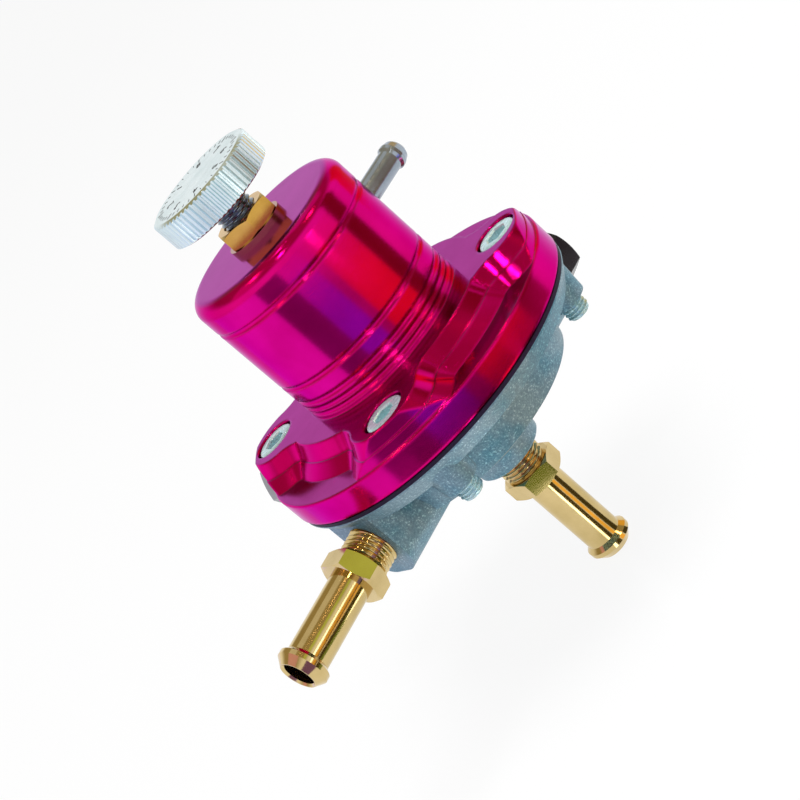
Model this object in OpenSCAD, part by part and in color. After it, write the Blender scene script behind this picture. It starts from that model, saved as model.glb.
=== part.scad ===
// Adjustable fuel pressure regulator, in millimetres, +Z up along the spring axis.
// The origin is on that axis, in the plane of the undersides of the base's four screw ears.
// The inlet points along -X, and the side port and the vacuum nipple along +X.

/* [Bonnet] */
// Outside diameter of the bonnet's flange
flange_d = 71; // [66:0.5:80]
// Thickness of the bonnet's flange
flange_t = 5.85; // [4:0.05:8]
// Height of the lobed plate above the flange
plate_h = 5.05; // [4:0.05:6]
// Radius of each lobe at the plate's top
lobe_r = 8.2; // [7.5:0.1:8.6]
// Distance of each lobe's centre from the axis
lobe_at = 27.2; // [26:0.1:27.3]
// Radius of the plate between the lobes, at its top
hub_r = 25; // [24:0.1:26]
// Radius of the hollow corner between a lobe and the hub, at the plate's top
hollow_r = 7; // [6:0.1:8]
// How far the plate's sloping wall runs out at its foot
wall_run = 4.7; // [3:0.1:5]
// Outside diameter of the spring tower
tower_d = 38.2; // [36:0.2:42]
// Height of the spring tower above the lobed plate
tower_h = 31.1; // [29:0.1:36]
// Radius of the tower's top edge
tower_edge_r = 2.8; // [1:0.2:5]
// Radius of the turned grooves round the tower
groove_r = 0.6; // [0.4:0.1:0.7]
// Diameter of the bore that holds the spring
spring_bore_d = 29.2; // [28.6:0.2:31]
// Thickness of the tower's roof
roof_t = 6; // [5:0.2:7]

/* [Base] */
// Depth of the screw ears below the bonnet's flange
ear_drop = 8.5; // [7.6:0.1:10]
// How far the rim of the base's flange stands back from the bonnet's
rim_step = 0.3; // [0.1:0.1:1]
// Thickness of the base's flange
base_flange_t = 3.7; // [3:0.1:5]
// How far the base's flange slopes in over its thickness
rim_slope = 2.4; // [1:0.1:3]
// Radius of a screw ear at its foot
ear_r = 3.9; // [3.8:0.1:5]
// Diameter of the base's body below its flange
body_d = 48; // [46:0.5:52]
// Depth of the body's straight wall below the origin
body_drop = 4.8; // [4:0.2:6]
// Diameter of the fuel chamber
chamber_d = 40; // [38:0.5:42]
// Depth of the fuel chamber's floor below the origin
floor_drop = 3.6; // [3.4:0.1:4.4]
// Width of the bosses round the inlet and the side port
boss_w = 13.6; // [13:0.2:16]
// Depth of those bosses below the axis of their port
boss_drop = 8; // [7:0.1:9]
// How far the face of a port's boss stands back from the bonnet's rim
boss_back = 1.7; // [1:0.1:2.4]
// Depth of the inlet's axis below the base's joint face
port_drop = 7.8; // [7.6:0.1:9]
// Depth of the side port's axis below the inlet's
side_drop = 2; // [0:0.1:2.4]
// Diameter of the return boss under the base
return_boss_d = 15; // [14:0.2:17]
// Depth of the return boss's face below the origin
return_drop = 15.3; // [14:0.1:18]
// Angle of the gauge port from +X
gauge_angle = 102; // [94:1:118]
// Height of the gauge port's axis above the origin
gauge_z = 2.7; // [2:0.1:2.8]
// Width of the boss round the gauge port
gauge_boss_w = 11.6; // [11:0.2:14]

/* [Cover screws] */
// Diameter of the circle on which the four cover screws stand
screw_circle_d = 59.4; // [58.6:0.2:60]
// Angle by which the screws are turned back from the diagonals of the ports
port_skew = 3.4; // [0:0.1:6]
// Diameter of a cover screw
screw_d = 5; // [4:0.5:5]
// Diameter of a cover screw's head
screw_head_d = 8.5; // [7:0.1:8.6]
// Height of a cover screw's head
screw_head_h = 5; // [4:0.1:5.5]
// Width across the flats of a cover screw's socket
screw_socket_af = 4; // [3:0.5:4]
// Length of screw that stands out below an ear
screw_out = 3.6; // [2:0.1:5]
// Gap round a screw's head in its counterbore
head_gap = 0.4; // [0.2:0.05:0.5]

/* [Fuel fittings] */
// Diameter of the ports' thread
port_thread_d = 9.7; // [9:0.1:10.4]
// Depth of a port's thread
thread_depth = 7; // [6:0.2:8]
// Length of the inlet's thread that stays in sight
inlet_out = 4.9; // [3:0.1:6]
// Length of the return's thread that stays in sight
return_out = 4.3; // [3:0.1:6]
// Depth of the fittings' thread
thread_relief = 0.5; // [0.3:0.05:0.7]
// Width across the flats of a hose tail's hexagon
fitting_af = 11; // [10.5:0.5:14]
// Length of a hose tail's hexagon
fitting_hex_l = 4; // [3.6:0.1:7]
// Outside diameter of the hose tails
tail_d = 8; // [7:0.1:9]
// Length of the inlet's hose tail beyond its hexagon
inlet_tail_l = 19.8; // [16:0.1:30]
// Length of the return's hose tail beyond its hexagon
return_tail_l = 21.6; // [16:0.1:30]
// Diameter of the bead at a hose tail's end
bead_d = 9.9; // [9:0.1:11]
// Length of the bead at a hose tail's end
bead_l = 3.5; // [3:0.1:6]
// Width across the flats of the side plug's hexagon
plug_af = 11.5; // [11:0.5:14]
// Length of the side plug's hexagon
plug_hex_l = 5.2; // [4:0.1:7]
// Length of the side plug's thread that stays in sight
plug_out = 2.2; // [2.2:0.1:6]
// Diameter of the fuel bores
fuel_bore_d = 6; // [4:0.2:6.4]

/* [Gauge plug and vacuum nipple] */
// Diameter of the gauge port's thread
gauge_thread_d = 7; // [6:0.2:7.4]
// Width across the flats of the gauge plug's hexagon
gauge_af = 11; // [10:0.5:14]
// Length of the gauge plug's hexagon
gauge_hex_l = 6; // [4:0.1:7]
// Length of the gauge plug's neck beyond the bonnet's rim
gauge_neck = 12; // [1:0.5:14]
// Height of the nipple's axis above the bonnet's flange
nipple_up = 28.4; // [26:0.2:29]
// Outside diameter of the nipple
nipple_d = 5; // [4:0.1:5.4]
// Diameter of the nipple's bead
nipple_bead_d = 5.8; // [5.6:0.1:7]
// Distance from the axis to the nipple's end
nipple_reach = 34; // [30:0.2:40]
// Diameter of the nipple's bore
nipple_bore_d = 3; // [2:0.1:3.4]

/* [Adjuster] */
// Diameter of the adjusting screw
adjuster_d = 7.8; // [7:0.1:8]
// Diameter of the knob
knob_d = 24; // [20:0.5:30]
// Thickness of the knob
knob_t = 6.15; // [5:0.05:8]
// Height of the knob's underside above the tower's top
knob_up = 8.85; // [7.6:0.05:12]
// Number of ridges round the knob
knob_ridges = 64; // [48:1:80]
// Depth of the knob's ridges
ridge_depth = 0.45; // [0.2:0.05:0.6]
// Height of the lock nut
nut_h = 3.6; // [3:0.1:4.4]
// Width across the flats of the lock nut
nut_af = 11; // [11:0.1:14]
// Thickness of the sealing washer under the lock nut
washer_t = 1.2; // [0.8:0.1:1.4]
// Diameter of the sealing washer under the lock nut
washer_d = 12.5; // [11.5:0.1:16]
// Diameter of the thrust ball
ball_d = 6; // [5:0.2:6.2]
// Thickness of the seal ring's section round the adjusting screw
seal_t = 1.5; // [1.2:0.1:1.8]

/* [Spring and diaphragm] */
// Diameter of the spring's wire
wire_d = 2.8; // [2.2:0.1:3]
// Outside diameter of the spring
spring_d = 24; // [22:0.2:25]
// Turns of the spring
spring_turns = 6.5; // [5.5:0.5:7]
// Thickness of the button on top of the spring
button_t = 3; // [2.6:0.1:3.6]
// Length of the button's spigot inside the spring
spigot_l = 3; // [2:0.1:5]
// Distance from the tower's roof down to the button
button_drop = 3.1; // [2.6:0.1:4]
// Thickness of the diaphragm
diaphragm_t = 0.8; // [0.6:0.1:1.2]
// Height of the diaphragm's rolled fold
fold_h = 2.2; // [1:0.1:3]
// Thickness of the upper plate's rim round the spring
cup_rim_t = 0.6; // [0.5:0.1:1.2]
// Thickness of the plates that clamp the diaphragm
clamp_t = 1.5; // [1:0.1:2]
// Height of the rim on the upper plate
cup_rim_h = 2.4; // [1.5:0.1:3]
// Diameter of the stud through the diaphragm
stud_d = 6; // [5:0.2:7]
// Diameter of the valve pad
pad_d = 8; // [7:0.2:9]
// Thickness of the valve pad
pad_t = 2; // [1.6:0.1:2.4]
// Height of the stud's foot, which holds the pad
foot_h = 2.6; // [2.2:0.1:3]
// Diameter of the valve seat's orifice
orifice_d = 4.6; // [3:0.2:5]

/* [Hidden] */
$fn = 64;

// Clearance of a thread or a shank in its hole, on the radius
fit = 0.05;
// Overrun of a cut past the face that it opens
cut = 1;
// Small chamfer on turned edges
edge = 0.5;

// Heights, from the origin up
joint_z = ear_drop - diaphragm_t;
flange_top_z = ear_drop + flange_t;
plate_top_z = flange_top_z + plate_h;
tower_top_z = plate_top_z + tower_h;
roof_z = tower_top_z - roof_t;
port_z = joint_z - port_drop;
side_z = port_z - side_drop;
nipple_z = ear_drop + nipple_up;
button_z = roof_z - button_drop - button_t;
ball_z = button_z + button_t + ball_d / 6;
nut_z = tower_top_z + washer_t;
knob_z = tower_top_z + knob_up;

// Radii
flange_r = flange_d / 2;
base_flange_r = flange_r - rim_step;
boss_reach = flange_r - boss_back;
gauge_hex_at = flange_r + gauge_neck;
tower_r = tower_d / 2;
thread_r = port_thread_d / 2;
screw_r = screw_d / 2;
shank_r = screw_r - 0.1;
adjuster_r = adjuster_d / 2;

// Valve, from the diaphragm down to the seat
lower_plate_z = joint_z - clamp_t;
foot_z = lower_plate_z - foot_h;
pad_sunk = pad_t / 2;
pad_z = foot_z + pad_sunk - pad_t;
upper_plate_top_z = ear_drop + clamp_t;
cup_gap = 0.2;
plate_d = spring_d + 2 * (cup_rim_t + cup_gap);
stud_head_h = 1.4;
stud_head_r = stud_d / 2 + 1.3;
foot_r = pad_d / 2 + 1.5;

// Valve seat, pressed in the chamber's floor over a washer
seat_r = 4;
seat_lip_r = orifice_d / 2 + 0.7;
seat_collar_r = seat_r + 2;
seat_collar_h = 2.4;
seat_washer_t = 1;
seat_shank_l = return_drop - thread_depth - floor_drop;

// Seal ring in the roof, round the adjusting screw
seal_z = roof_z + (roof_t - seal_t) / 2;
seal_r = adjuster_r + fit + seal_t;

SCREW_ANGLES = [for (k = [0:3]) 45 - port_skew + 90 * k];
INLET_ANGLE = 180;
SIDE_ANGLE = 0;

// Places its children at each cover screw's axis
module at_screws() {
    for (a = SCREW_ANGLES)
        rotate(a) translate([screw_circle_d / 2, 0, 0]) children();
}

// Turns its children from +Z to point outwards at angle a and height z
module outwards(a, z) {
    translate([0, 0, z]) rotate(a) rotate([0, 90, 0]) children();
}

// A straight cylinder of radius r from height z0 to z1
module rod(r, z0, z1) {
    translate([0, 0, z0]) cylinder(r = r, h = z1 - z0);
}

// A hexagonal bar with chamfered corners, across the flats af, from z0 to z1
module hex_bar(af, z0, z1) {
    corner_r = af / sqrt(3);
    chamfer = corner_r - af / 2;
    intersection() {
        translate([0, 0, z0]) cylinder(r = corner_r, h = z1 - z0, $fn = 6);
        rotate_extrude() polygon([
            [0, z0], [af / 2, z0], [corner_r, z0 + chamfer / 2],
            [corner_r, z1 - chamfer / 2], [af / 2, z1], [0, z1]]);
    }
}

// One stage of the lobed plate from height z0 to z1, grown by g0 at its foot and by g1 at its top.
// Each hollow corner keeps one centre at all heights, so its wall is a cone tangent to hub and lobe.
// It bites into them by a hair, so that the surfaces cross.
module lobed_stage(z0, g0, z1, g1) {
    h = z1 - z0;
    slope = (g1 - g0) / h;
    bite = 0.06;
    reach = hub_r + hollow_r;
    turn = acos((reach * reach + lobe_at * lobe_at - pow(lobe_r + hollow_r, 2)) / (2 * reach * lobe_at));
    corner = reach * [cos(turn), sin(turn)];
    hollow_0 = hollow_r + bite - g0 + slope * cut;
    hollow_1 = hollow_r + bite - g1 - slope * cut;
    translate([0, 0, z0]) difference() {
        union() {
            cylinder(r1 = hub_r + g0, r2 = hub_r + g1, h = h, $fn = 128);
            for (a = SCREW_ANGLES) rotate(a) {
                translate([lobe_at, 0, 0]) cylinder(r1 = lobe_r + g0, r2 = lobe_r + g1, h = h);
                linear_extrude(h) polygon([[lobe_at / 2, 0], [corner[0], -corner[1]], [lobe_at, 0], corner]);
            }
        }
        for (a = SCREW_ANGLES) for (side = [-1, 1])
            rotate(a) translate([corner[0], side * corner[1], -cut])
                cylinder(r1 = hollow_0, r2 = hollow_1, h = h + 2 * cut);
    }
}

// The plate with four lobes: a steep upper wall, a narrow ledge and a sloping foot, cut off at the rim
module lobed_plate() {
    ledge = 0.3;
    foot_h = plate_h * 0.43;
    steep = wall_run * 0.4;
    over = 0.3;
    foot_slope = (wall_run - steep - ledge) / foot_h;
    steep_slope = steep / (plate_h - foot_h);
    ledge_z = flange_top_z + foot_h;
    intersection() {
        lobed_stage(
            flange_top_z - over, wall_run + foot_slope * over,
            ledge_z + over, steep + ledge - foot_slope * over);
        rod(flange_r - edge, flange_top_z - cut, ledge_z);
    }
    intersection() {
        lobed_stage(ledge_z, steep, plate_top_z + over, -steep_slope * over);
        rod(flange_r - edge - ledge / 2, flange_top_z, plate_top_z);
    }
}

// Half section of the bonnet's outside: flange, tower and turned grooves
module bonnet_outside() {
    groove_drops = [7, 22.4, 26.5, 28.3, 29.6];
    difference() {
        union() {
            polygon([
                [0, ear_drop], [flange_r - edge, ear_drop], [flange_r, ear_drop + edge],
                [flange_r, flange_top_z - edge / 2], [flange_r - edge / 2, flange_top_z], [0, flange_top_z]]);
            translate([0, ear_drop]) square([tower_r, tower_top_z - tower_edge_r - ear_drop]);
            translate([0, ear_drop]) square([tower_r - tower_edge_r, tower_top_z - ear_drop]);
            translate([tower_r - tower_edge_r, tower_top_z - tower_edge_r]) circle(r = tower_edge_r);
        }
        for (drop = groove_drops)
            translate([tower_r + groove_r * 0.3, tower_top_z - drop]) circle(r = groove_r);
    }
}

// Half section of the bonnet's stepped bore: diaphragm chamber, spring bore, seal groove and screw hole
module bonnet_bore() {
    chamber_h = flange_t - 0.4;
    spring_r = spring_bore_d / 2;
    screw_r = adjuster_r + 2 * fit;
    polygon([
        [0, ear_drop - cut], [chamber_d / 2, ear_drop - cut], [chamber_d / 2, ear_drop + chamber_h],
        [spring_r, ear_drop + chamber_h + 2], [spring_r, roof_z], [screw_r, roof_z], [screw_r, seal_z],
        [seal_r + fit, seal_z], [seal_r + fit, seal_z + seal_t], [screw_r, seal_z + seal_t],
        [screw_r, tower_top_z + cut], [0, tower_top_z + cut]]);
}

module bonnet() {
    color("mediumvioletred") difference() {
        union() {
            rotate_extrude() bonnet_outside();
            lobed_plate();
        }
        rotate_extrude() bonnet_bore();
        at_screws() {
            rod(screw_r + fit * 2, 0, tower_top_z);
            rod(screw_head_d / 2 + head_gap, plate_top_z - screw_head_h - 0.2, tower_top_z);
        }
        outwards(SIDE_ANGLE, nipple_z) rod(nipple_d / 2 + fit, spring_bore_d / 2 - cut, tower_r + cut);
    }
}

// Boss of a port at angle a and height z: upright sides below the joint face, and a rounded bottom
module port_boss(a, z, w, drop) {
    corner_r = w * 0.37;
    side = w / 2 - corner_r;
    low = drop - corner_r;
    up = joint_z - z;
    outwards(a, z) linear_extrude(boss_reach) {
        translate([-up, -w / 2]) square([up + low, w]);
        translate([low - cut, -side]) square([corner_r + cut, 2 * side]);
        translate([low, -side]) circle(r = corner_r);
        translate([low, side]) circle(r = corner_r);
    }
}

// Threaded hole of a port at angle a and height z, and its fuel way of diameter bore_d
module port_hole(a, z, bore_d) {
    outwards(a, z) {
        rod(thread_r + fit, boss_reach - thread_depth, flange_r + cut);
        rod(bore_d / 2, chamber_d / 2 - cut, boss_reach);
    }
}

// Half section of the base's round body: sloping flange, body and return boss
module base_section() {
    r = base_flange_r;
    foot_z = joint_z - base_flange_t;
    boss_r = return_boss_d / 2;
    boss_root_z = -body_drop - 5.4;
    polygon([
        [0, joint_z], [r, joint_z], [r, joint_z - 0.3], [r - rim_slope, foot_z], [body_d / 2 + 2, foot_z],
        [body_d / 2, -body_drop], [boss_r + 4, boss_root_z], [boss_r + 0.6, boss_root_z - 1],
        [boss_r, -return_drop + edge], [boss_r - edge, -return_drop], [0, -return_drop]]);
}

module base() {
    ear_root_r = ear_r + 0.6;
    color("lightslategray") difference() {
        union() {
            rotate_extrude() base_section();
            at_screws() cylinder(r1 = ear_r, r2 = ear_root_r, h = joint_z - edge);
            intersection() {
                union() {
                    port_boss(INLET_ANGLE, port_z, boss_w, boss_drop);
                    port_boss(SIDE_ANGLE, side_z, boss_w, boss_drop);
                    port_boss(gauge_angle, gauge_z, gauge_boss_w, gauge_boss_w / 2);
                }
                rod(flange_r, -return_drop, joint_z);
            }
        }
        rod(chamber_d / 2, -floor_drop, joint_z + cut);
        rod(seat_r + fit, -return_drop, 0);
        rod(thread_r + fit, -return_drop - cut, -return_drop + thread_depth);
        port_hole(INLET_ANGLE, port_z, fuel_bore_d);
        port_hole(SIDE_ANGLE, side_z, fuel_bore_d * 0.45);
        outwards(gauge_angle, gauge_z) rod(gauge_thread_d / 2 + fit, chamber_d / 2 - cut, flange_r + cut);
        at_screws() rod(screw_r + fit, -cut, joint_z + cut);
    }
}

module cover_screws() {
    head_z = plate_top_z - screw_head_h - 0.2;
    socket_h = screw_head_h * 0.55;
    head_r = screw_head_d / 2;
    color("silver") at_screws() difference() {
        rotate_extrude() polygon([
            [0, -screw_out], [screw_r - edge, -screw_out], [screw_r, -screw_out + edge], [screw_r, 0],
            [shank_r, 0], [shank_r, head_z], [head_r, head_z], [head_r, head_z + screw_head_h - edge],
            [head_r - edge, head_z + screw_head_h], [0, head_z + screw_head_h]]);
        translate([0, 0, head_z + screw_head_h - socket_h])
            cylinder(r = screw_socket_af / sqrt(3), h = socket_h + cut, $fn = 6);
    }
}

// Thread and hexagon of a fitting in a port: the boss's face is at height 0, and the fitting points up.
// The hexagon starts at height out.
module fitting_body(af, hex_l, out) {
    inner = edge - thread_depth;
    neck_r = thread_r - thread_relief;
    rotate_extrude() polygon([
        [0, inner], [thread_r - edge, inner], [thread_r, inner + edge], [thread_r, 0],
        [neck_r, 0], [neck_r, out + edge], [0, out + edge]]);
    hex_bar(af, out, out + hex_l);
}

// A hose tail: fitting body, tube and bead, with a fuel bore right through that opens at the end
module hose_tail(out, tail_l) {
    r = tail_d / 2;
    bead_r = bead_d / 2;
    bore_r = fuel_bore_d / 2;
    end = out + fitting_hex_l + tail_l;
    mouth = 0.4;
    difference() {
        union() {
            rotate(30) fitting_body(fitting_af, fitting_hex_l, out);
            rotate_extrude() polygon([
                [0, out + edge], [r, out + edge], [r, end - bead_l], [bead_r, end - bead_l * 0.74],
                [bead_r, end - bead_l * 0.46], [bore_r + mouth + 0.2, end], [0, end]]);
        }
        rod(bore_r, -thread_depth - cut, end + cut);
        translate([0, 0, end - 2 * mouth])
            cylinder(r1 = bore_r - mouth, r2 = bore_r + mouth + cut, h = 2 * mouth + cut);
    }
}

module inlet_tail() {
    color("goldenrod") outwards(INLET_ANGLE, port_z) translate([0, 0, boss_reach])
        hose_tail(inlet_out, inlet_tail_l);
}

module return_tail() {
    color("goldenrod") translate([0, 0, -return_drop]) rotate([180, 0, 0])
        hose_tail(return_out, return_tail_l);
}

module side_plug() {
    color("dimgray") outwards(SIDE_ANGLE, side_z) translate([0, 0, boss_reach])
        fitting_body(plug_af, plug_hex_l, plug_out);
}

module gauge_plug() {
    r = gauge_thread_d / 2;
    inner = boss_reach - thread_depth;
    neck_r = r - thread_relief;
    color("gray") outwards(gauge_angle, gauge_z) {
        rotate_extrude() polygon([
            [0, inner], [r - edge, inner], [r, inner + edge], [r, boss_reach],
            [neck_r, boss_reach], [neck_r, gauge_hex_at + edge], [0, gauge_hex_at + edge]]);
        rotate(30) hex_bar(gauge_af, gauge_hex_at, gauge_hex_at + gauge_hex_l);
    }
}

module vacuum_nipple() {
    r = nipple_d / 2;
    bead_r = nipple_bead_d / 2;
    inner = spring_bore_d / 2 + edge;
    bead_at = nipple_reach - 2.6;
    color("silver") outwards(SIDE_ANGLE, nipple_z) rotate_extrude() difference() {
        polygon([
            [0, inner], [r, inner], [r, bead_at - 0.6], [bead_r, bead_at], [bead_r, bead_at + 0.8],
            [r, nipple_reach - edge], [r - edge, nipple_reach], [0, nipple_reach]]);
        translate([0, inner - cut]) square([nipple_bore_d / 2, nipple_reach - inner + 2 * cut]);
    }
}

// Height of the diaphragm's rolled fold at radius r
function fold(r, r0, r1) = r <= r0 || r >= r1 ? 0 : fold_h * (1 - cos(360 * (r - r0) / (r1 - r0))) / 2;

module diaphragm() {
    r0 = plate_d / 2 + 0.2;
    r1 = chamber_d / 2 - 0.2;
    steps = [for (i = [0:16]) r0 + (r1 - r0) * i / 16];
    outer_r = base_flange_r;
    hole_r = stud_d / 2 + fit;
    color("#1c1c20") difference() {
        rotate_extrude() polygon(concat(
            [[hole_r, joint_z]], [for (r = steps) [r, joint_z + fold(r, r0, r1)]], [[outer_r, joint_z]],
            [[outer_r, ear_drop]], [for (i = [16:-1:0]) [steps[i], ear_drop + fold(steps[i], r0, r1)]],
            [[hole_r, ear_drop]]));
        at_screws() rod(screw_r + 3 * fit, 0, ear_drop + cut);
    }
}

module lower_plate() {
    r = plate_d / 2;
    color("silver") rotate_extrude() polygon([
        [stud_d / 2 + fit, lower_plate_z], [r - 1, lower_plate_z], [r, lower_plate_z + 0.6],
        [r, joint_z], [stud_d / 2 + fit, joint_z]]);
}

module upper_plate() {
    r = plate_d / 2;
    color("silver") rotate_extrude() polygon([
        [stud_d / 2 + fit, ear_drop], [r - 0.4, ear_drop], [r, ear_drop + 0.4],
        [r, upper_plate_top_z + cup_rim_h], [r - cup_rim_t, upper_plate_top_z + cup_rim_h],
        [r - cup_rim_t, upper_plate_top_z], [stud_d / 2 + fit, upper_plate_top_z]]);
}

module valve_stud() {
    color("silver") rotate_extrude() polygon([
        [0, foot_z + pad_sunk], [pad_d / 2 + fit, foot_z + pad_sunk], [pad_d / 2 + fit, foot_z],
        [foot_r, foot_z], [foot_r, lower_plate_z], [stud_d / 2, lower_plate_z],
        [stud_d / 2, upper_plate_top_z], [stud_head_r, upper_plate_top_z],
        [stud_head_r - 0.6, upper_plate_top_z + stud_head_h], [0, upper_plate_top_z + stud_head_h]]);
}

module valve_pad() {
    color("#202020") rod(pad_d / 2, pad_z, pad_z + pad_t);
}

module valve_seat() {
    washer_top_z = seat_washer_t - floor_drop;
    collar_top_z = washer_top_z + seat_collar_h;
    color("goldenrod") rotate_extrude() polygon([
        [orifice_d / 2, -floor_drop - seat_shank_l + edge], [seat_r, -floor_drop - seat_shank_l + edge],
        [seat_r, washer_top_z], [seat_collar_r, washer_top_z], [seat_collar_r, collar_top_z],
        [seat_r + 0.4, collar_top_z], [seat_lip_r, pad_z], [orifice_d / 2, pad_z]]);
}

module seat_washer() {
    color("sandybrown") difference() {
        rod(seat_collar_r, -floor_drop, seat_washer_t - floor_drop);
        rod(seat_r + fit, -floor_drop - cut, 0);
    }
}

// A helical spring with closed ends: the pitch is tight for the first and last turn
module spring() {
    sides = 10;
    per_turn = 20;
    mean_r = (spring_d - wire_d) / 2;
    low = upper_plate_top_z + wire_d / 2 + fit;
    high = button_z - wire_d / 2 - fit;
    tight = wire_d * 1.06;
    open_pitch = (high - low - 2 * tight) / (spring_turns - 2);
    n = spring_turns * per_turn;
    function rise(t) = t < 1 ? tight * t : t > spring_turns - 1
        ? high - low - tight * (spring_turns - t) : tight + open_pitch * (t - 1);
    points = [for (i = [0:n]) let (t = i / per_turn, a = 360 * t, z = low + rise(t))
        for (k = [0:sides - 1]) let (b = 360 * k / sides, r = mean_r + wire_d / 2 * cos(b))
            [r * cos(a), r * sin(a), z + wire_d / 2 * sin(b)]];
    walls = [for (i = [0:n - 1]) for (k = [0:sides - 1])
        [i * sides + k, i * sides + (k + 1) % sides, (i + 1) * sides + (k + 1) % sides, (i + 1) * sides + k]];
    color("slategray") polyhedron(points, concat(
        [[for (k = [sides - 1:-1:0]) k]], walls, [[for (k = [0:sides - 1]) n * sides + k]]), convexity = 10);
}

module spring_button() {
    spigot_r = spring_d / 2 - wire_d - 0.3;
    spigot_z = button_z - spigot_l;
    color("silver") difference() {
        rotate_extrude() polygon([
            [0, spigot_z], [spigot_r - edge, spigot_z], [spigot_r, spigot_z + edge], [spigot_r, button_z],
            [spring_d / 2, button_z], [spring_d / 2, button_z + button_t - edge],
            [spring_d / 2 - edge, button_z + button_t], [0, button_z + button_t]]);
        translate([0, 0, ball_z]) sphere(d = ball_d + 2 * fit);
    }
}

module thrust_ball() {
    color("lightgray") translate([0, 0, ball_z]) sphere(d = ball_d);
}

module adjuster_screw() {
    low = ball_z + ball_d / 7;
    color("lightsteelblue") difference() {
        rod(adjuster_r, low, knob_z + knob_t * 0.65);
        translate([0, 0, ball_z]) sphere(d = ball_d + 8 * fit);
    }
}

// The knob: a straight-ridged rim, bevelled at both faces, on a blind hole for the screw
module knob() {
    r = knob_d / 2;
    bevel = 0.9;
    step = 360 / knob_ridges;
    ridges = [for (i = [0:knob_ridges - 1]) for (k = [0:3]) let (
        a = step * (i + [0, 0.3, 0.5, 0.8][k]), rim = k < 2 ? r : r - ridge_depth) rim * [cos(a), sin(a)]];
    color("gainsboro") difference() {
        intersection() {
            translate([0, 0, knob_z]) linear_extrude(knob_t) polygon(ridges);
            rotate_extrude() polygon([
                [0, knob_z], [r - bevel, knob_z], [r, knob_z + bevel / 2],
                [r, knob_z + knob_t - bevel / 2], [r - bevel, knob_z + knob_t], [0, knob_z + knob_t]]);
        }
        rod(adjuster_r + fit, knob_z - cut, knob_z + knob_t * 0.65);
    }
}

module lock_nut() {
    color("goldenrod") difference() {
        hex_bar(nut_af, nut_z, nut_z + nut_h);
        rod(adjuster_r + 2 * fit, nut_z - cut, nut_z + nut_h + cut);
    }
}

module seal_washer() {
    color("tan") difference() {
        rod(washer_d / 2, tower_top_z, nut_z);
        rod(adjuster_r + 4 * fit, tower_top_z - cut, nut_z + cut);
    }
}

module screw_seal() {
    color("#202020") difference() {
        rod(seal_r, seal_z, seal_z + seal_t);
        rod(adjuster_r + fit, seal_z - cut, seal_z + seal_t + cut);
    }
}

base();
bonnet();
cover_screws();
inlet_tail();
return_tail();
side_plug();
gauge_plug();
vacuum_nipple();
diaphragm();
lower_plate();
upper_plate();
valve_stud();
valve_pad();
valve_seat();
seat_washer();
spring();
spring_button();
thrust_ball();
adjuster_screw();
knob();
lock_nut();
seal_washer();
screw_seal();
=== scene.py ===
import math

import bmesh
import bpy
from mathutils import Matrix, Vector


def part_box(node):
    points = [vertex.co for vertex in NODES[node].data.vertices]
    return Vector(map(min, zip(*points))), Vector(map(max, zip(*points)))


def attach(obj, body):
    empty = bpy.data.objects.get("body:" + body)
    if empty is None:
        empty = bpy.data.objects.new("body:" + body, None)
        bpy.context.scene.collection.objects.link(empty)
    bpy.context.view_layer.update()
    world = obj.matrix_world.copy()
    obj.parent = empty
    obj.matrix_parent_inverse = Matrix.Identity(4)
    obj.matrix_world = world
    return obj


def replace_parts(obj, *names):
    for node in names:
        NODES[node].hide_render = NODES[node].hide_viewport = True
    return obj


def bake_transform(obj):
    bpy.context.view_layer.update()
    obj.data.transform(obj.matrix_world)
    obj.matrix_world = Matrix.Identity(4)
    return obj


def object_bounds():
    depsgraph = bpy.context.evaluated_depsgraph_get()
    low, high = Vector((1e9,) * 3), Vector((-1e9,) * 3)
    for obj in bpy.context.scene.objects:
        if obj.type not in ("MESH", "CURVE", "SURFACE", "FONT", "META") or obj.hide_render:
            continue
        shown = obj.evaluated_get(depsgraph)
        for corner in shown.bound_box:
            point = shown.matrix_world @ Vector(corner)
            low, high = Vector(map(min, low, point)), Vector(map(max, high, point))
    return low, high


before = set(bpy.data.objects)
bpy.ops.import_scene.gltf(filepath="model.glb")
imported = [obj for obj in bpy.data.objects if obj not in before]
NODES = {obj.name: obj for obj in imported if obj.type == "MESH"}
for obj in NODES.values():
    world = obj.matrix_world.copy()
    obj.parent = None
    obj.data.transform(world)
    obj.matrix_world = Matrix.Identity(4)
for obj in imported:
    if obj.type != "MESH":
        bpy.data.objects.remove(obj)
cad_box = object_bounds()
MM = 0.001

# Sizes down to the dial are in millimetres, and the main ones are the solids' own. The knob and its screw
KNOB_Z = 59.35
KNOB_T = 6.15
SCREW_R = 3.9
SCREW_PITCH = 1.0
SCREW_DEPTH = 0.5
SCREW_FOOT_Z = 42.6
SCREW_FOOT_CHAMFER = 0.8
SCREW_RELIEF = 0.1
SCREW_LAP = 0.4
SCREW_IN_KNOB = 0.64

# The fittings' threads
PORT_Z = -0.1
SIDE_Z = -2.1
BOSS_REACH = 33.8
RETURN_DROP = 15.3
INLET_OUT = 4.9
RETURN_OUT = 4.3
PLUG_OUT = 2.2
THREAD_R = 4.85
THREAD_PITCH = 0.95
THREAD_DEPTH = 0.48
THREAD_IN = 1.0
THREAD_GAP = 0.05
GAUGE_ANGLE = 102.0
GAUGE_Z = 2.7
GAUGE_R = 3.5
GAUGE_PITCH = 1.0
GAUGE_HEX_AT = 47.5

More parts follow.
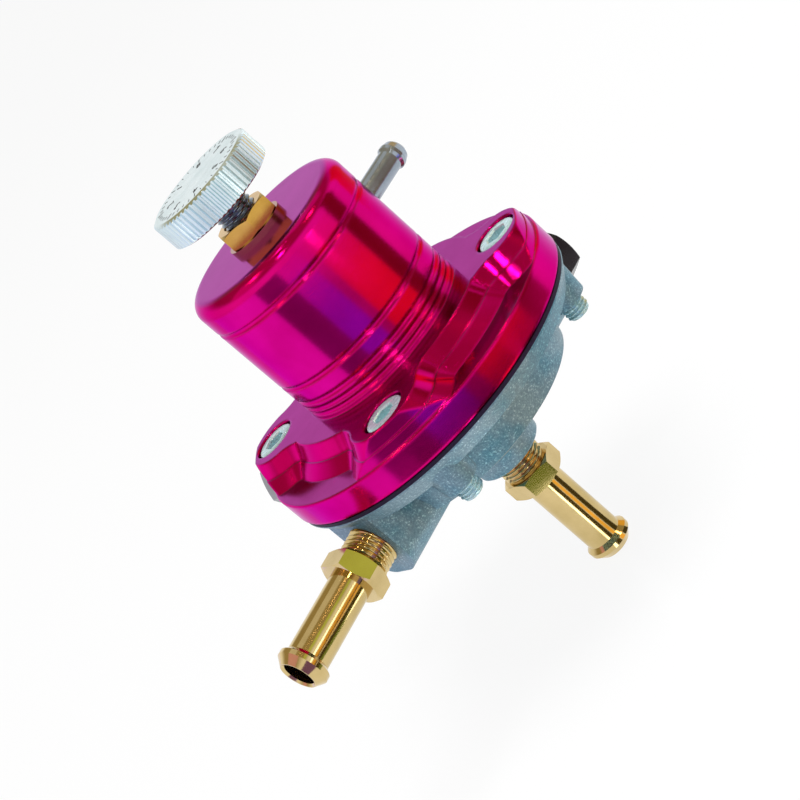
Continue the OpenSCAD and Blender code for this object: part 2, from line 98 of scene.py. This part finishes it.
# The cover screws
COVER_CIRCLE_R = 29.7
COVER_SKEW = 3.4
COVER_R = 2.5
COVER_OUT = 3.6
COVER_PITCH = 0.8
COVER_DEPTH = 0.38
COVER_TIP = 0.6
COVER_TIP_EDGE = 0.35
COVER_TIP_H = 0.2
COVER_RELIEF = 0.05
COVER_TURN = (0.4, 1.3)
HEAD_R = 4.25
HEAD_Z = 14.2
HEAD_H = 5.0
HEAD_LAP = 0.1
HEAD_FOOT = 0.2
HEAD_EDGE = 0.5
HEAD_ROUND = (0.15, 0.18)
SOCKET_AF = 4.0
SOCKET_LEAD = 0.5
SOCKET_LEAD_H = 0.3
SOCKET_DEEP = 1.5
SOCKET_END = 2.2
SOCKET_END_R = 0.3

# The spring and the diaphragm
WIRE_R = 1.4
COIL_R = 10.6
COIL_TURNS = 6.5
COIL_TIGHT = 2.12 * WIRE_R
COIL_STEPS = 20
COIL_SPLIT = 2.75
FOLD_H = 2.2
FOLD_R = (13.0, 19.8)
FOLD_STEPS = 16
DIAPHRAGM_R = (3.05, 35.2)
DIAPHRAGM_Z = (7.7, 8.5)
SECTORS = 12
SECTOR_STEPS = 8

# The dial
TICKS = 40
TICK_R = 9.7
TICK_W = 0.16
TICK_LONG = 1.5
TICK_SHORT = 0.8
TICK_H = 0.06
DIGITS = 8
DIGIT_R = 7.0
DIGIT_SIZE = 2.6
DIGIT_H = 0.03

# How finely the dressed pieces are divided
RING_POINTS = 48
WIRE_POINTS = 12
RINGS_PER_PITCH = 10
SHARP_ANGLE = math.radians(32)

# Size of a metal's clouds of tone, and depths that bumps and soft edges stand for in metres
CLOUD_SCALE = 120
FINE_BUMP = 0.0002
COARSE_BUMP = 0.0004
EDGE_SOFTNESS = 0.0008


# Materials
class Nodes:
    """A material's node tree, with one call per node."""

    def __init__(self, name):
        self.mat = bpy.data.materials.new(name)
        self.mat.use_nodes = True
        self.tree = self.mat.node_tree
        self.shader = self.tree.nodes["Principled BSDF"]

    def add(self, kind, **values):
        node = self.tree.nodes.new(kind)
        for key, value in values.items():
            setattr(node, key, value)
        return node

    def link(self, a, b):
        self.tree.links.new(a, b)

    def surface(self, output):
        self.link(output, self.tree.nodes["Material Output"].inputs["Surface"])

    def noise(self, scale, detail=4.0, rough=0.55, stretch=(1, 1, 1)):
        mapping = self.add("ShaderNodeMapping")
        mapping.inputs["Scale"].default_value = stretch
        self.link(self.add("ShaderNodeTexCoord").outputs["Object"], mapping.inputs["Vector"])
        node = self.add("ShaderNodeTexNoise")
        node.inputs["Scale"].default_value = scale
        node.inputs["Detail"].default_value = detail
        node.inputs["Roughness"].default_value = rough
        self.link(mapping.outputs["Vector"], node.inputs["Vector"])
        return node.outputs["Fac"]

    def ramp(self, value, stops):
        node = self.add("ShaderNodeValToRGB")
        elements = node.color_ramp.elements
        while len(elements) < len(stops):
            elements.new(0.5)
        for element, (pos, col) in zip(elements, stops):
            element.position = pos
            element.color = (*col, 1.0)
        self.link(value, node.inputs["Fac"])
        return node.outputs["Color"]

    def tones(self, value, dark, light):
        """Two tones of one colour, over the middle of a noise."""
        return self.ramp(value, [(0.3, dark), (0.7, light)])

    def mix(self, share, a, b):
        node = self.add("ShaderNodeMix", data_type="RGBA")
        self.link(share, node.inputs["Factor"])
        self.link(a, node.inputs["A"])
        self.link(b, node.inputs["B"])
        return node.outputs["Result"]

    def span(self, value, low, high):
        node = self.add("ShaderNodeMapRange")
        node.inputs["To Min"].default_value = low
        node.inputs["To Max"].default_value = high
        self.link(value, node.inputs["Value"])
        return node.outputs["Result"]

    def bump(self, height, strength, distance=FINE_BUMP, under=None):
        node = self.add("ShaderNodeBump")
        node.inputs["Strength"].default_value = strength
        node.inputs["Distance"].default_value = distance
        self.link(height, node.inputs["Height"])
        if under is not None:
            self.link(under, node.inputs["Normal"])
        return node.outputs["Normal"]

    def finish(self, color, rough, normal=None, metallic=1.0):
        self.shader.inputs["Metallic"].default_value = metallic
        self.link(color, self.shader.inputs["Base Color"])
        self.link(rough, self.shader.inputs["Roughness"])
        if normal is not None:
            self.link(normal, self.shader.inputs["Normal"])
        return self.mat


def metal(name, dark, light, rough, grain, bump=0.05, metallic=1.0):
    """A metal whose tone and roughness vary, with fine machining marks."""
    n = Nodes(name)
    marks = n.noise(grain, 3.0, 0.6)
    color = n.tones(n.noise(CLOUD_SCALE, 3.0), dark, light)
    return n.finish(color, n.span(marks, *rough), n.bump(marks, bump), metallic)


def anodised_material():
    """Dyed metal: crimson on turned walls, with softened edges. Faced tops get a duller violet tone, which
    is a painted reflection of the sky.
    """
    n = Nodes("anodised_magenta")
    cloud = n.noise(CLOUD_SCALE, 3.0)
    marks = n.noise(500, 3.0, 0.6, (1, 1, 14))
    wall = n.tones(cloud, (0.62, 0.001, 0.150), (0.72, 0.002, 0.195))
    # Painted reflection: the tops' violet tone stands for the sky they mirror. It is mixed in where the
    # surface faces up.
    top = n.tones(cloud, (0.35, 0.045, 0.17), (0.40, 0.055, 0.21))
    axes = n.add("ShaderNodeSeparateXYZ")
    n.link(n.add("ShaderNodeTexCoord").outputs["Normal"], axes.inputs["Vector"])
    top_reflection_share = n.add("ShaderNodeMapRange")
    top_reflection_share.inputs["From Min"].default_value = 0.85
    top_reflection_share.inputs["From Max"].default_value = 0.97
    n.link(axes.outputs["Z"], top_reflection_share.inputs["Value"])
    color = n.mix(top_reflection_share.outputs["Result"], wall, top)
    n.shader.inputs["Specular Tint"].default_value = (0.80, 0.50, 0.92, 1.0)
    soft = n.add("ShaderNodeBevel", samples=6)
    soft.inputs["Radius"].default_value = EDGE_SOFTNESS
    normal = n.bump(marks, 0.03, under=soft.outputs["Normal"])
    return n.finish(color, n.span(marks, 0.12, 0.20), normal)


def cast_material():
    """Die-cast metal: fine grain with sparse bright specks, cooler in patches."""
    n = Nodes("cast_grey")
    grain = n.noise(2600, 6.0, 0.7)
    stops = (0.36, 0.57, 0.69)
    tones = [
        ((0.14, 0.23, 0.28), (0.23, 0.36, 0.43), (0.72, 0.90, 0.94)),
        ((0.06, 0.16, 0.23), (0.11, 0.29, 0.38), (0.46, 0.88, 0.95)),
    ]
    plain, cool = [n.ramp(grain, list(zip(stops, row))) for row in tones]
    share = n.ramp(n.noise(90, 3.0, 0.6), [(0.42, (0, 0, 0)), (0.62, (1, 1, 1))])
    normal = n.bump(n.noise(420, 4.0, 0.6), 0.12, COARSE_BUMP, n.bump(grain, 0.35))
    return n.finish(n.mix(share, plain, cool), n.span(grain, 0.34, 0.52), normal, 0.40)


def rubber_material():
    n = Nodes("black_rubber")
    grain = n.noise(1500)
    color = n.tones(grain, (0.010, 0.004, 0.018), (0.024, 0.009, 0.042))
    n.shader.inputs["Specular IOR Level"].default_value = 0.2
    return n.finish(color, n.span(grain, 0.5, 0.7), n.bump(grain, 0.15), 0.0)


def ink_material():
    n = Nodes("dial_ink")
    grain = n.noise(1200, 3.0)
    color = n.tones(grain, (0.02, 0.022, 0.028), (0.05, 0.052, 0.06))
    return n.finish(color, n.span(grain, 0.45, 0.6), None, 0.0)


brass = metal("brass_turned", (0.56, 0.42, 0.17), (0.73, 0.56, 0.27), (0.09, 0.16), 600, 0.04)
warm_brass = metal("brass_warm", (0.55, 0.31, 0.05), (0.70, 0.42, 0.09), (0.14, 0.26), 600)
zinc = metal("zinc_steel", (0.40, 0.60, 0.63), (0.54, 0.76, 0.80), (0.20, 0.34), 900, metallic=0.5)
dark_steel = metal("dark_steel", (0.030, 0.030, 0.034), (0.065, 0.065, 0.070), (0.20, 0.32), 700)
grey_steel = metal("grey_steel", (0.26, 0.27, 0.29), (0.38, 0.39, 0.41), (0.24, 0.38), 700)
stem_steel = metal("stem_steel", (0.16, 0.18, 0.21), (0.30, 0.33, 0.36), (0.12, 0.24), 700)
nickel = metal("nickel_steel", (0.29, 0.34, 0.40), (0.43, 0.50, 0.58), (0.14, 0.26), 800, metallic=0.85)
spring_steel = metal("spring_steel", (0.20, 0.21, 0.22), (0.32, 0.33, 0.34), (0.25, 0.40), 800)
knob_metal = metal("knob_metal", (0.60, 0.74, 0.77), (0.76, 0.87, 0.90), (0.18, 0.32), 700)
bronze = metal("bronze_dark", (0.34, 0.14, 0.10), (0.46, 0.20, 0.15), (0.16, 0.28), 600)
copper = metal("copper", (0.60, 0.28, 0.14), (0.76, 0.40, 0.22), (0.22, 0.36), 700)
anodised = anodised_material()
cast = cast_material()
rubber = rubber_material()
ink = ink_material()

PAINT = {
    "bonnet": anodised, "base": cast, "inlet_tail": brass, "return_tail": brass, "lock_nut": warm_brass,
    "seal_washer": bronze, "valve_seat": brass, "seat_washer": copper, "side_plug": dark_steel,
    "gauge_plug": grey_steel, "vacuum_nipple": nickel, "diaphragm": rubber, "valve_pad": rubber,
    "screw_seal": rubber, "cover_screws": zinc, "lower_plate": zinc, "upper_plate": zinc, "valve_stud": zinc,
    "spring": spring_steel, "spring_button": zinc, "thrust_ball": nickel, "adjuster_screw": stem_steel,
    "knob": knob_metal,
}
for name, mat in PAINT.items():
    obj = NODES[name]
    obj.data.materials.clear()
    obj.data.materials.append(mat)


# Mesh helpers
def ring(radius, z, count=RING_POINTS):
    """Points of one ring: radius is a number or a function of the angle."""
    points = []
    for i in range(count):
        a = 2 * math.pi * i / count
        r = radius(a) if callable(radius) else radius
        points.append(Vector((r * math.cos(a), r * math.sin(a), z)))
    return points


def skin(name, groups, mat, body, place=None):
    """One object from stacks of rings, closed at both ends. A tuple as body leaves it unattached, with its
    placement baked in; the tuple's contents are not used.
    """
    bm = bmesh.new()
    for rings in groups:
        rows = [[bm.verts.new(p * MM) for p in r] for r in rings]
        count = len(rows[0])
        for low, high in zip(rows, rows[1:]):
            for i in range(count):
                j = (i + 1) % count
                bm.faces.new((low[i], low[j], high[j], high[i]))
        bm.faces.new(list(reversed(rows[0])))
        bm.faces.new(rows[-1])
    bmesh.ops.recalc_face_normals(bm, faces=bm.faces)
    mesh = bpy.data.meshes.new(name)
    bm.to_mesh(mesh)
    bm.free()
    mesh.materials.append(mat)
    obj = bpy.data.objects.new(name, mesh)
    bpy.context.collection.objects.link(obj)
    if place is not None:
        mesh.transform(place)
    mesh.shade_smooth()
    mesh.set_sharp_from_angle(angle=SHARP_ANGLE)
    if isinstance(body, tuple):
        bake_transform(obj)
    else:
        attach(obj, body)
    return obj


def thread_rings(minor, major, pitch, z0, z1):
    """Rings of a helical thread that fades out at both ends, with flats at its crest and root."""
    flat = 0.12
    steps = max(2, int((z1 - z0) / pitch * RINGS_PER_PITCH))
    rings = []
    for k in range(steps + 1):
        z = z0 + (z1 - z0) * k / steps
        fade = min(1.0, (z - z0) / (0.5 * pitch), (z1 - z) / (0.5 * pitch))

        def radius(a, z=z, fade=fade):
            phase = (z / pitch - a / (2 * math.pi)) % 1.0
            height = 1 - abs(2 * phase - 1)
            height = min(1.0, max(0.0, (height - flat) / (1 - 2 * flat)))
            return minor + (major - minor) * height * max(0.0, fade)

        rings.append(ring(radius, z))
    return rings


def neck(radius, pitch, start, end):
    """The thread of a fitting's neck, from inside the boss up to the hexagon."""
    return thread_rings(radius - THREAD_DEPTH, radius, pitch, start - THREAD_IN, end - THREAD_GAP)


def outwards(angle, z):
    """Turns +Z to point outwards at that angle and height."""
    turn = Matrix.Rotation(math.radians(angle), 4, "Z") @ Matrix.Rotation(math.radians(90), 4, "Y")
    return Matrix.Translation((0, 0, z * MM)) @ turn


# Threads that show on the fittings
PORTS = [
    ("inlet_thread", outwards(180, PORT_Z), brass, "brass", INLET_OUT),
    ("side_plug_thread", outwards(0, SIDE_Z), dark_steel, "dark_steel", PLUG_OUT),
]
for name, place, mat, slot, out in PORTS:
    rings = neck(THREAD_R, THREAD_PITCH, BOSS_REACH, BOSS_REACH + out)
    skin(name, [rings], mat, "housing", place)
down = Matrix.Rotation(math.radians(180), 4, "X")
rings = neck(THREAD_R, THREAD_PITCH, RETURN_DROP, RETURN_DROP + RETURN_OUT)
skin("return_thread", [rings], brass, "housing", down)
rings = neck(GAUGE_R, GAUGE_PITCH, BOSS_REACH, GAUGE_HEX_AT)
skin("gauge_thread", [rings], grey_steel, "housing", outwards(GAUGE_ANGLE, GAUGE_Z))

# The adjusting screw with its thread in sight
shoulder = SCREW_FOOT_Z + SCREW_FOOT_CHAMFER
stem = [ring(SCREW_R - SCREW_FOOT_CHAMFER, SCREW_FOOT_Z), ring(SCREW_R, shoulder)]
start, end = shoulder + SCREW_RELIEF, KNOB_Z + SCREW_LAP
stem += thread_rings(SCREW_R - SCREW_DEPTH, SCREW_R, SCREW_PITCH, start, end)
stem += [ring(SCREW_R - SCREW_DEPTH, KNOB_Z + KNOB_T * SCREW_IN_KNOB)]
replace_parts(skin("adjuster_thread", [stem], stem_steel, "adjuster"), "adjuster_screw")


# The cover screws with their sockets and threaded ends
def hexagon(af):
    """Radius of a hexagon by angle."""
    def radius(a):
        t = (a + math.pi / 6) % (math.pi / 3) - math.pi / 6
        return af / 2 / math.cos(t)
    return radius


top = HEAD_Z + HEAD_H
tip = COVER_TIP_H - COVER_OUT
core = COVER_R - COVER_DEPTH
shank = [ring(COVER_R - COVER_TIP, -COVER_OUT), ring(COVER_R - COVER_TIP_EDGE, tip)]
shank += thread_rings(core, COVER_R, COVER_PITCH, tip + COVER_RELIEF, 0.0)
shank += [ring(core, HEAD_Z + HEAD_LAP)]
head = [ring(HEAD_R - HEAD_FOOT, HEAD_Z), ring(HEAD_R, HEAD_Z + HEAD_FOOT), ring(HEAD_R, top - HEAD_EDGE)]
head += [ring(HEAD_R - HEAD_ROUND[0], top - HEAD_ROUND[1]), ring(HEAD_R - HEAD_EDGE, top)]
head += [ring(hexagon(SOCKET_AF + SOCKET_LEAD), top), ring(hexagon(SOCKET_AF), top - SOCKET_LEAD_H)]
head += [ring(hexagon(SOCKET_AF), top - SOCKET_DEEP), ring(SOCKET_END_R, top - SOCKET_END)]
for k in range(4):
    spin = Matrix.Rotation(math.radians(45 - COVER_SKEW + 90 * k), 4, "Z")
    turn = Matrix.Rotation(COVER_TURN[0] + COVER_TURN[1] * k, 4, "Z")
    at = spin @ Matrix.Translation((COVER_CIRCLE_R * MM, 0, 0)) @ turn
    screw = skin("cover_screw_%d" % k, [shank, head], zinc, "housing", at)
    if k == 0:
        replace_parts(screw, "cover_screws")

# The spring in two lengths, between the plate, the tower and the button
coil_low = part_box("spring")[0].z / MM + WIRE_R
coil_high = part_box("spring")[1].z / MM - WIRE_R
coil_pitch = (coil_high - coil_low - 2 * COIL_TIGHT) / (COIL_TURNS - 2)


def coil_z(turn):
    """Height of the wire's middle: the first and last turn lie close."""
    ends = min(turn, 1) + max(turn - COIL_TURNS + 1, 0)
    return coil_low + ends * COIL_TIGHT + min(max(turn - 1, 0), COIL_TURNS - 2) * coil_pitch


def coil(first, last):
    """Sections of the spring's wire, from one turn to another."""
    rings = []
    for i in range(round(first * COIL_STEPS), round(last * COIL_STEPS) + 1):
        turn = i / COIL_STEPS
        place = Matrix.Rotation(2 * math.pi * turn, 4, "Z") @ Matrix.Translation((COIL_R, 0, coil_z(turn)))
        place = place @ Matrix.Rotation(math.pi / 2, 4, "X")
        rings.append([place @ p for p in ring(WIRE_R, 0, WIRE_POINTS)])
    return rings


def on_axis(z):
    return (0, 0, z * MM)


split_z = coil_z(COIL_SPLIT)
bend = ("valve", "housing", on_axis(coil_z(1) + WIRE_R), on_axis(split_z - WIRE_R))
lower = skin("spring_lower", [coil(0, COIL_SPLIT)], spring_steel, bend)
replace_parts(lower, "spring")
bend = ("housing", "spring_seat", on_axis(split_z + WIRE_R), on_axis(coil_z(COIL_TURNS - 1) - WIRE_R))
skin("spring_upper", [coil(COIL_SPLIT, COIL_TURNS)], spring_steel, bend)


# The diaphragm in sectors
def diaphragm_section(angle):
    """The diaphragm's section at that angle, with its rolled fold."""
    width = FOLD_R[1] - FOLD_R[0]
    fold = [FOLD_R[0] + width * i / FOLD_STEPS for i in range(FOLD_STEPS + 1)]
    radii = [DIAPHRAGM_R[0], *fold, DIAPHRAGM_R[1]]
    shares = [min(1, max(0, (r - FOLD_R[0]) / width)) for r in radii]
    rise = [FOLD_H * (1 - math.cos(2 * math.pi * share)) / 2 for share in shares]
    under = [(r, DIAPHRAGM_Z[0] + z) for r, z in zip(radii, rise)]
    over = [(r, DIAPHRAGM_Z[1] + z) for r, z in zip(radii, rise)]
    return [Vector((r * math.cos(angle), r * math.sin(angle), z)) for r, z in under + over[::-1]]


half = math.pi / SECTORS
for k in range(SECTORS):
    middle = (2 * k + 1) * half
    out = Vector((math.cos(middle), math.sin(middle), 0)) * MM
    turns = [middle + half * (2 * i / SECTOR_STEPS - 1) for i in range(SECTOR_STEPS + 1)]
    bend = ("valve", "housing", out * FOLD_R[0], out * FOLD_R[1] * math.cos(half))
    sections = [diaphragm_section(turn) for turn in turns]
    sector = skin("diaphragm_%02d" % (k + 1), [sections], rubber, bend)
    if k == 0:
        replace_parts(sector, "diaphragm")


# The knob's dial: ticks and plain numbers
def mark(name, mesh):
    """A printed mark that turns with the knob."""
    mesh.name = name
    mesh.materials.clear()
    mesh.materials.append(ink)
    obj = bpy.data.objects.new(name, mesh)
    bpy.context.collection.objects.link(obj)
    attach(obj, "adjuster")


def on_face(share, r):
    """A place on the knob's face, by its share of a turn and its distance from the middle."""
    turn = Matrix.Rotation(2 * math.pi * share, 4, "Z")
    return turn @ Matrix.Translation((0, r * MM, (KNOB_Z + KNOB_T) * MM))


bm = bmesh.new()
for i in range(TICKS):
    length = TICK_LONG if i % 5 == 0 else TICK_SHORT
    size = Matrix.Diagonal((TICK_W * MM, length * MM, TICK_H * MM, 1))
    bmesh.ops.create_cube(bm, size=1.0, matrix=on_face(i / TICKS, TICK_R) @ size)
mesh = bpy.data.meshes.new("dial_ticks")
bm.to_mesh(mesh)
bm.free()
mark("dial_ticks", mesh)
for i in range(DIGITS):
    curve = bpy.data.curves.new("digit_%d" % i, "FONT")
    curve.body = str(i + 1)
    curve.size = DIGIT_SIZE * MM
    curve.extrude = DIGIT_H * MM
    curve.align_x = "CENTER"
    curve.align_y = "CENTER"
    temp = bpy.data.objects.new("digit_temp", curve)
    bpy.context.collection.objects.link(temp)
    bpy.context.view_layer.update()
    mesh = bpy.data.meshes.new_from_object(temp.evaluated_get(bpy.context.evaluated_depsgraph_get()))
    bpy.data.objects.remove(temp)
    mesh.transform(on_face(i / DIGITS, DIGIT_R))
    mark("dial_digit_%d" % (i + 1), mesh)

# Floor and world, in metres from here on
FLOOR_GAP = 0.0005
FLOOR_HALF = 6.0
FLOOR_WHITE = 0.9
WORLD_LIGHT = 0.45
HORIZON = (0.34, (1.0, 1.0, 1.0))
CEILING = (0.56, (0.40, 0.32, 0.16))


def floor_material():
    """A pale floor that the camera and reflections see as white, and that keeps a soft shadow."""
    n = Nodes("floor_white")
    path = n.add("ShaderNodeLightPath")
    seen = n.add("ShaderNodeMath", operation="ADD")
    n.link(path.outputs["Is Camera Ray"], seen.inputs[0])
    n.link(path.outputs["Is Glossy Ray"], seen.inputs[1])
    both = n.add("ShaderNodeMath", operation="ADD", use_clamp=True)
    n.link(seen.outputs[0], both.inputs[0])
    n.link(path.outputs["Is Transmission Ray"], both.inputs[1])
    share = n.add("ShaderNodeMath", operation="MULTIPLY")
    share.inputs[1].default_value = FLOOR_WHITE
    n.link(both.outputs[0], share.inputs[0])
    n.shader.inputs["Base Color"].default_value = (0.9, 0.9, 0.9, 1)
    n.shader.inputs["Roughness"].default_value = 0.9
    glow = n.add("ShaderNodeEmission")
    glow.inputs["Strength"].default_value = 1.0
    mix = n.add("ShaderNodeMixShader")
    n.link(share.outputs[0], mix.inputs["Fac"])
    n.link(n.shader.outputs[0], mix.inputs[1])
    n.link(glow.outputs[0], mix.inputs[2])
    n.surface(mix.outputs[0])
    return n.mat


def studio_world():
    """White for the camera. Reflections see a pale horizon under a dim warm ceiling."""
    world = bpy.data.worlds.new("studio")
    bpy.context.scene.world = world
    world.use_nodes = True
    tree = world.node_tree

    def add(kind, **values):
        node = tree.nodes.new(kind)
        for key, value in values.items():
            setattr(node, key, value)
        return node

    path = add("ShaderNodeLightPath")
    bounce = add("ShaderNodeMath", operation="ADD", use_clamp=True)
    tree.links.new(path.outputs["Is Glossy Ray"], bounce.inputs[0])
    tree.links.new(path.outputs["Is Transmission Ray"], bounce.inputs[1])
    seen = add("ShaderNodeMath", operation="ADD", use_clamp=True)
    tree.links.new(path.outputs["Is Camera Ray"], seen.inputs[0])
    tree.links.new(bounce.outputs[0], seen.inputs[1])
    level = add("ShaderNodeMapRange")
    level.inputs["To Min"].default_value = WORLD_LIGHT
    level.inputs["To Max"].default_value = 1.0
    tree.links.new(seen.outputs[0], level.inputs["Value"])
    axes = add("ShaderNodeSeparateXYZ")
    tree.links.new(add("ShaderNodeTexCoord").outputs["Generated"], axes.inputs["Vector"])
    ramp = add("ShaderNodeValToRGB")
    for element, (pos, col) in zip(ramp.color_ramp.elements, (HORIZON, CEILING)):
        element.position = pos
        element.color = (*col, 1.0)
    tree.links.new(axes.outputs["Z"], ramp.inputs["Fac"])
    tint = add("ShaderNodeMix", data_type="RGBA")
    tint.inputs["A"].default_value = (1, 1, 1, 1)
    tree.links.new(bounce.outputs[0], tint.inputs["Factor"])
    tree.links.new(ramp.outputs["Color"], tint.inputs["B"])
    tree.links.new(tint.outputs["Result"], tree.nodes["Background"].inputs["Color"])
    tree.links.new(level.outputs[0], tree.nodes["Background"].inputs["Strength"])


floor_z = cad_box[0][2] - FLOOR_GAP
corners = [(-1, -1), (1, -1), (1, 1), (-1, 1)]
mesh = bpy.data.meshes.new("floor")
mesh.from_pydata([(x * FLOOR_HALF, y * FLOOR_HALF, floor_z) for x, y in corners], [], [(0, 1, 2, 3)])
mesh.materials.append(floor_material())
floor = bpy.data.objects.new("floor", mesh)
bpy.context.collection.objects.link(floor)
studio_world()

# Camera at the photograph's angle
CAM_ROT = (
    (0.454281, 0.767170, -0.453683),
    (-0.531687, -0.175198, -0.828884),
    (-0.715093, 0.617516, 0.328174),
)
CAM_AT = Vector((-168.581, -294.801, 126.657)) * MM
CAM_ANGLE = 240.2
RIGHT, UP, BACK = (Vector(column) for column in zip(*CAM_ROT))
AIM = Vector((0, 0, 0.015))
cam_data = bpy.data.cameras.new("camera")
cam_data.sensor_width = 36.0
cam_data.lens = 85.5
cam_data.clip_start = 0.01
camera = bpy.data.objects.new("camera", cam_data)
camera.matrix_world = Matrix.Translation(CAM_AT) @ Matrix(CAM_ROT).to_4x4()
bpy.context.collection.objects.link(camera)
bpy.context.scene.camera = camera


def lamp(name, right, up, back, size, power):
    """A soft area lamp, placed by the picture's right and up and the way back to the camera."""
    data = bpy.data.lights.new(name, "AREA")
    data.shape = "RECTANGLE"
    data.size, data.size_y = size
    data.energy = power
    obj = bpy.data.objects.new(name, data)
    at = AIM + RIGHT * right + UP * up + BACK * back
    obj.matrix_world = Matrix.Translation(at) @ (at - AIM).to_track_quat("Z", "Y").to_matrix().to_4x4()
    bpy.context.collection.objects.link(obj)
    obj.visible_glossy = False


lamp("key", -0.5, 0.7, 0.5, (0.5, 0.5), 9.0)
lamp("fill", 0.7, 0.2, 0.5, (0.4, 0.6), 4.0)

# Studio cards, which only reflections see
PANEL_STEP = 5
STRIP_LIFT = 0.0008
SHADE_LIFT = 0.0004
SPOT_REACH = 0.9
SPOT_DARK = 0.9


def around(offset, r, z):
    """A point by its angle from the camera's, its distance from the spring axis and its height."""
    a = math.radians(CAM_ANGLE + offset)
    return (r * math.cos(a), r * math.sin(a), z)


def card(name, low, high, dark, light):
    """A card between two rows of points."""
    count = len(low)
    faces = [(i, i + 1, count + i + 1, count + i) for i in range(count - 1)]
    mesh = bpy.data.meshes.new(name)
    mesh.from_pydata(low + high, [], faces)
    n = Nodes(name)
    glow = n.add("ShaderNodeEmission")
    n.link(n.tones(n.noise(8, 2.0), dark, light), glow.inputs["Color"])
    n.surface(glow.outputs[0])
    mesh.materials.append(n.mat)
    obj = bpy.data.objects.new(name, mesh)
    bpy.context.collection.objects.link(obj)
    obj.visible_camera = False
    obj.visible_shadow = False
    obj.visible_diffuse = False


def sweep(start, end):
    """Angles from start to end, about a step apart."""
    count = max(1, round((end - start) / PANEL_STEP))
    return [start + (end - start) * i / count for i in range(count + 1)]


def panel(name, start, end, r, z0, z1, dark, light):
    """An upright card round the object."""
    turn = sweep(start, end)
    card(name, [around(a, r, z0) for a in turn], [around(a, r, z1) for a in turn], dark, light)


def strip(name, start, end, r0, r1, dark, light):
    """A card that lies on the floor, between two angles from the camera's."""
    turn = sweep(start, end)
    z = floor_z + STRIP_LIFT
    card(name, [around(a, r0, z) for a in turn], [around(a, r1, z) for a in turn], dark, light)


def spot(name, azimuth, elevation, size, light):
    """A small bright card overhead, seen from the object in degrees."""
    a, e = math.radians(azimuth), math.radians(elevation)
    out = Vector((math.cos(e) * math.cos(a), math.cos(e) * math.sin(a), math.sin(e)))
    side = out.cross(Vector((0, 0, 1))).normalized() * size / 2
    lift = side.cross(out).normalized() * size / 2
    at = AIM + out * SPOT_REACH
    dark = tuple(SPOT_DARK * c for c in light)
    card(name, [at - side - lift, at + side - lift], [at - side + lift, at + side + lift], dark, light)


BLACK = ((0.05, 0.04, 0.015), (0.10, 0.08, 0.03))
WHITE = ((3.6, 3.6, 3.6), (4.2, 4.2, 4.2))
ORANGE = ((0.85, 0.45, 0.06), (1.05, 0.6, 0.10))
LAMP_WHITE = (40.0, 40.0, 40.0)
LAMP_WARM = (16.0, 10.0, 6.0)
CARD_R = 0.16
LOW_R = 0.165
SHADE_R = 0.155
SHADE_TOP = -0.0325
LOW_TOP = 0.004
MID_TOP = 0.022
CARD_TOP = 0.12
STREAK = (0.014, 0.028)
STRIP_FROM = 0.0055
STRIP_TO = 0.15
BRIGHT_TO = 0.0500
OLIVE_R = (0.0501, 0.12)

# Each panel: its angles, distance, foot and top, and two tones
panel("card_lilac", -125, -52, CARD_R, floor_z, MID_TOP, (0.92, 0.88, 1.35), (1.0, 0.95, 1.6))
panel("card_left", -52, -20, CARD_R, floor_z, MID_TOP, (0.20, 0.10, 0.28), (0.28, 0.14, 0.38))
panel("card_cool", -20, 9, LOW_R, floor_z, LOW_TOP, (0.24, 0.22, 1.1), (0.34, 0.32, 1.5))
panel("card_purple", 9, 20, LOW_R, floor_z, LOW_TOP, (0.42, 0.25, 0.40), (0.52, 0.32, 0.50))
panel("card_orange", 20, 64, LOW_R, floor_z, LOW_TOP, *ORANGE)
panel("card_streak", 26, 37, CARD_R, *STREAK, *WHITE)
panel("card_warm", 64, 88, CARD_R, floor_z, CARD_TOP, (0.20, 0.10, 0.03), (0.28, 0.15, 0.05))
panel("card_far", 108, 140, CARD_R, LOW_TOP, CARD_TOP, *ORANGE)
panel("card_low", -36, 40, SHADE_R, floor_z, SHADE_TOP, (0.04, 0.02, 0.05), (0.10, 0.05, 0.12))
panel("card_low_far", 40, 88, SHADE_R, floor_z, SHADE_TOP, (0.36, 0.10, 0.16), (0.50, 0.14, 0.28))

# Each strip: its angles, near and far distance, and two tones
strip("strip_bright", -7, 3, STRIP_FROM, BRIGHT_TO, *WHITE)
strip("strip_near", 4, 24, STRIP_FROM, STRIP_TO, *BLACK)
strip("strip_glow", 27, 43, STRIP_FROM, STRIP_TO, (1.1, 0.62, 0.10), (1.4, 0.80, 0.18))
strip("strip_far", 47, 75, STRIP_FROM, STRIP_TO, *BLACK)
strip("strip_olive", -12, 4, *OLIVE_R, (0.16, 0.22, 0.04), (0.24, 0.31, 0.07))

# A slanting patch of the floor that the inlet's hexagon mirrors
INLET_NEAR = ((-0.033, -0.0356), (-0.0086, -0.0356))
INLET_FAR = ((-0.0089, -0.095), (0.0156, -0.095))
near, far = [[(x, y, floor_z + SHADE_LIFT) for x, y in row] for row in (INLET_NEAR, INLET_FAR)]
card("strip_inlet", near, far, (0.12, 0.16, 0.03), (0.18, 0.23, 0.05))

# Each spot: its azimuth and elevation, size and light
spot("spot_upper", 236, 47, 0.07, LAMP_WHITE)
spot("spot_lower", 236, 79, 0.04, LAMP_WHITE)
spot("spot_right", 312, 52, 0.09, LAMP_WARM)
spot("spot_left", 174, 59, 0.09, LAMP_WARM)
spot("spot_side", 170, 45, 0.55, (0.78, 0.42, 0.50))
spot("spot_inlet", 292, 34, 0.17, (0.62, 0.74, 0.17))
spot("spot_back", 10, 64, 0.50, (0.75, 0.70, 0.60))

bpy.context.scene.view_settings.view_transform = "Standard"
